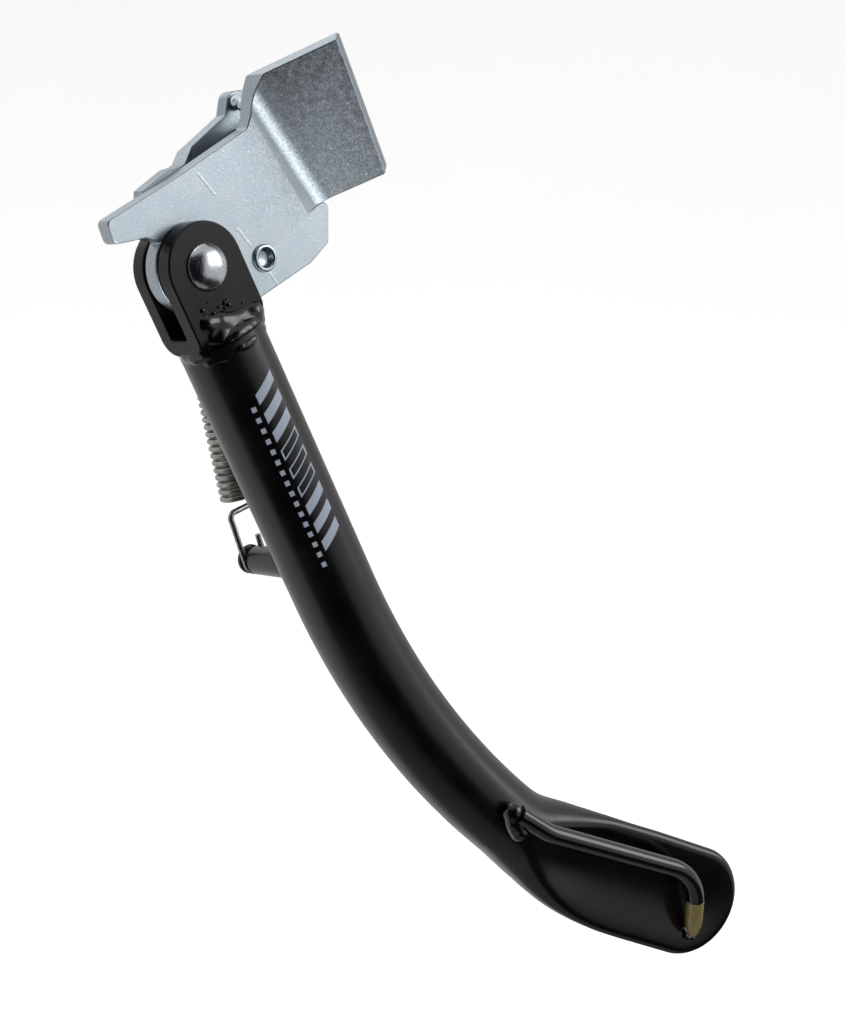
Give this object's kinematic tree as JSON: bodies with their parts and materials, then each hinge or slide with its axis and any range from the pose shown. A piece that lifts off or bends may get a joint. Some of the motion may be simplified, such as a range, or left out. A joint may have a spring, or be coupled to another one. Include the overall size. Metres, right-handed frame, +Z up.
{
  "type": "motorcycle kickstand",
  "caption": "Spring-return side stand: curved steel tube leg with a flattened foot and a tang, riveted in a folded zinc bracket.",
  "frame": {"origin": "mouth of the upper frame bolt's threaded hole, in the rear plate's back face", "axes": "+Z up with the leg at rest, +Y back through the rear plate and along the pivot rivet, +X the way the leg leans at rest"},
  "size_m": [0.2371, 0.0716, 0.2912],
  "materials": {
    "zinc_plate": "bright zinc plating",
    "zinc_fastener": "bright zinc plating",
    "bare_weld": "bead of bare steel",
    "bush_bronze": "sintered",
    "washer_steel": "plain",
    "black_gloss_paint": "gloss black paint",
    "spring_steel": "dull grey"
  },
  "bodies": {
    "bracket": {"bracket_plate": "zinc_plate", "rear_plate": "zinc_plate", "rear_plate_weld": "bare_weld", "frame_nuts": "zinc_fastener", "pivot_bush": "bush_bronze", "spring_anchor_pin": "zinc_fastener"},
    "leg": {"leg_tube": "black_gloss_paint", "leg_clevis": "black_gloss_paint", "clevis_weld": "black_gloss_paint", "pivot_rivet": "zinc_fastener", "front_thrust_washer": "washer_steel", "rear_thrust_washer": "washer_steel", "spring_peg": "black_gloss_paint", "peg_weld": "black_gloss_paint", "tang_rod": "black_gloss_paint", "tang_weld": "black_gloss_paint", "tang_tip_weld": "black_gloss_paint"},
    "spring_lower": {"spring_lower_hook": "spring_steel", "spring_coil": "spring_steel"},
    "spring_upper": {"spring_upper_hook": "spring_steel"}
  },
  "joints": [
    {"name": "leg_swing", "type": "hinge", "parent": "bracket", "child": "leg", "pos_m": [-0.031, -0.016, -0.036], "axis": [0, 1, 0], "range_deg": [0, 98], "stiffness_Nm_per_rad": 0.3, "springref_deg": -171.89},
    {"name": "spring_tilt", "type": "hinge", "parent": "leg", "child": "spring_lower", "pos_m": [0.01675, 0.0171, -0.12215], "axis": [0, 1, 0], "range_deg": [-11.7, 0]},
    {"name": "spring_stretch", "type": "slide", "parent": "spring_lower", "child": "spring_upper", "axis": [-0.2539, 0, 0.9672], "range_m": [0, 0.0302], "deforming": ["spring_coil", "spring_lower_hook", "spring_upper_hook"]}
  ],
  "couplings": [
    {"joint": "spring_tilt", "follows": "leg_swing", "ratio": -0.11852},
    {"joint": "spring_stretch", "follows": "leg_swing", "m_per_rad": 0.017591}
  ]
}
